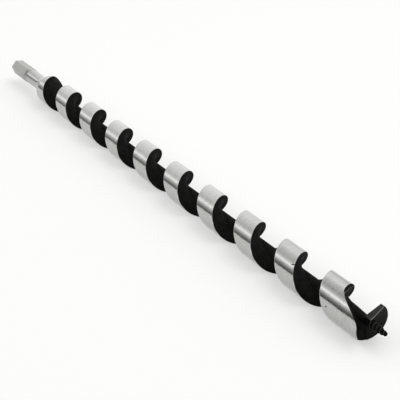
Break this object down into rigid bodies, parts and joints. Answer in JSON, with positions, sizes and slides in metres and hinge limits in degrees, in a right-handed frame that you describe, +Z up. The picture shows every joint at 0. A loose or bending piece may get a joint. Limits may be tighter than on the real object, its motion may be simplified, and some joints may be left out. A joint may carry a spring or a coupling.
{
  "type": "auger bit",
  "caption": "Long auger bit for wood with a hexagon drive, a right-hand spiral flute, a cutting lip, a side spur and a threaded lead point.",
  "frame": {"origin": "centre of the flat rear end of the shank", "axes": "+X along the bit towards its point, +Z up as the bit lies, +Y to its left seen from the rear"},
  "size_m": [0.46, 0.02, 0.02],
  "materials": {
    "bright_steel": "turned and ground, bare",
    "black_steel": "black satin in the flute, ground bright on the land"
  },
  "bodies": {
    "root": {"shank": "bright_steel", "twist": "black_steel", "cutting_lip": "black_steel", "scoring_spur": "black_steel", "lead_screw": "black_steel"}
  },
  "joints": []
}
